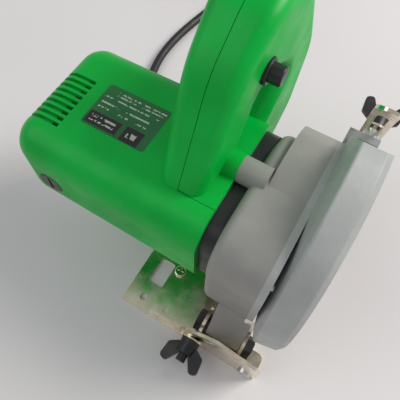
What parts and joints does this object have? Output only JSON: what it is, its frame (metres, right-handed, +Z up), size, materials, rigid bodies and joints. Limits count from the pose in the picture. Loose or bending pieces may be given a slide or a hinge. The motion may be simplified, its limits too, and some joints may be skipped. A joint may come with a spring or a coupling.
{
  "type": "hand-held masonry and tile trim saw",
  "caption": "Hand-held corded trim saw with a loop handle, half blade guard, diamond blade and a tilting, depth-setting base plate.",
  "frame": {"origin": "underside of the base plate, under the joint between the motor housing and the gear housing, in the motor axis plane", "axes": "+X along the motor axis toward the blade, -Y the direction of cut, +Z up from the base plate"},
  "size_m": [0.2872, 0.4137, 0.1849],
  "materials": {
    "green_plastic": "satin moulded green",
    "grey_cast": "grey painted die casting",
    "plated_steel": "warm yellowish zinc plating",
    "bright_steel": "bright turned steel",
    "dark_steel": "blackened steel",
    "black_plastic": "black moulded plastic",
    "grey_plastic": "grey moulded plastic",
    "brown_bakelite": "dark brown moulded cap",
    "label_film": "printed film, no lettering",
    "copper_winding": "enamelled copper wire",
    "laminated_steel": "stacked electrical steel",
    "brass_part": "brass",
    "carbon": "sintered carbon brush",
    "diamond_grit": "sintered diamond segment",
    "cord_rubber": "black cord sheath"
  },
  "bodies": {
    "saw_body": {"motor_housing": "green_plastic", "handle_cover": "green_plastic", "rating_label": "label_film", "brush_caps": "brown_bakelite", "brush_holders": "brass_part", "carbon_brushes": "carbon", "brush_springs": "bright_steel", "stator_core": "laminated_steel", "stator_windings": "copper_winding", "motor_bearings": "bright_steel", "gear_housing": "grey_cast", "fan_baffle": "black_plastic", "housing_screws": "bright_steel", "top_dowel": "bright_steel", "blade_guard": "grey_cast", "guard_screws": "bright_steel", "spindle_rear_bearing": "bright_steel", "spindle_front_bearing": "bright_steel", "depth_stud": "bright_steel", "depth_spacer": "bright_steel", "depth_washer": "plated_steel", "power_switch": "black_plastic", "lock_collar": "black_plastic", "handle_screws": "bright_steel", "cord_guard": "cord_rubber", "power_cord": "cord_rubber", "cord_coil": "cord_rubber", "cord_tail": "cord_rubber", "plug_body": "cord_rubber", "plug_pins": "brass_part"},
    "rotor": {"armature_shaft": "bright_steel", "armature_core": "laminated_steel", "armature_windings": "copper_winding", "commutator": "copper_winding", "cooling_fan": "black_plastic", "pinion": "bright_steel"},
    "spindle": {"spindle": "bright_steel", "spindle_gear": "bright_steel", "inner_flange": "bright_steel", "outer_flange": "bright_steel", "blade_bolt": "dark_steel", "blade_core": "laminated_steel", "diamond_segments": "diamond_grit"},
    "trigger": {"trigger": "grey_plastic", "switch_plunger": "black_plastic"},
    "lock_button": {"lock_button": "black_plastic"},
    "base": {"base_plate": "plated_steel", "bevel_pins": "bright_steel"},
    "bracket": {"tilt_bracket": "plated_steel", "depth_link": "plated_steel", "link_rivets": "bright_steel", "bracket_screw": "plated_steel", "bevel_stud": "dark_steel", "bevel_washer": "plated_steel", "pivot_bolt": "dark_steel", "pivot_nut": "dark_steel", "pivot_bush": "black_plastic"},
    "front_wing_nut": {"front_wing_nut": "black_plastic"},
    "rear_wing_nut": {"rear_wing_nut": "black_plastic"}
  },
  "joints": [
    {"name": "bevel_tilt", "type": "hinge", "parent": "base", "child": "bracket", "pos_m": [0.05, 0, 0.008], "axis": [0, 1, 0], "range_deg": [0, 45]},
    {"name": "depth_swing", "type": "hinge", "parent": "bracket", "child": "saw_body", "pos_m": [0.03, -0.054, 0.022], "axis": [-1, 0, 0], "range_deg": [-10, 17]},
    {"name": "motor_spin", "type": "hinge", "parent": "saw_body", "child": "rotor", "pos_m": [0, 0, 0.0775], "axis": [1, 0, 0], "continuous": true},
    {"name": "blade_spin", "type": "hinge", "parent": "saw_body", "child": "spindle", "pos_m": [0, 0.0175, 0.0634], "axis": [1, 0, 0], "continuous": true},
    {"name": "trigger_pull", "type": "slide", "parent": "saw_body", "child": "trigger", "axis": [0, -0.8935, 0.449], "range_m": [0, 0.005], "stiffness_N_per_m": 800, "springref_m": -0.002},
    {"name": "lock_press", "type": "slide", "parent": "saw_body", "child": "lock_button", "axis": [-1, 0, 0], "range_m": [0, 0.0035], "stiffness_N_per_m": 600, "springref_m": -0.002},
    {"name": "front_wing_turn", "type": "hinge", "parent": "bracket", "child": "front_wing_nut", "pos_m": [0.0128, -0.07, 0.014], "axis": [0, -1, 0], "range_deg": [-180, 180]},
    {"name": "rear_wing_turn", "type": "hinge", "parent": "saw_body", "child": "rear_wing_nut", "pos_m": [0.051, 0.10292, 0.07299], "axis": [0, 0.9511, 0.309], "range_deg": [-180, 180]}
  ],
  "couplings": [
    {"joint": "motor_spin", "follows": "blade_spin", "ratio": -2.2143}
  ]
}
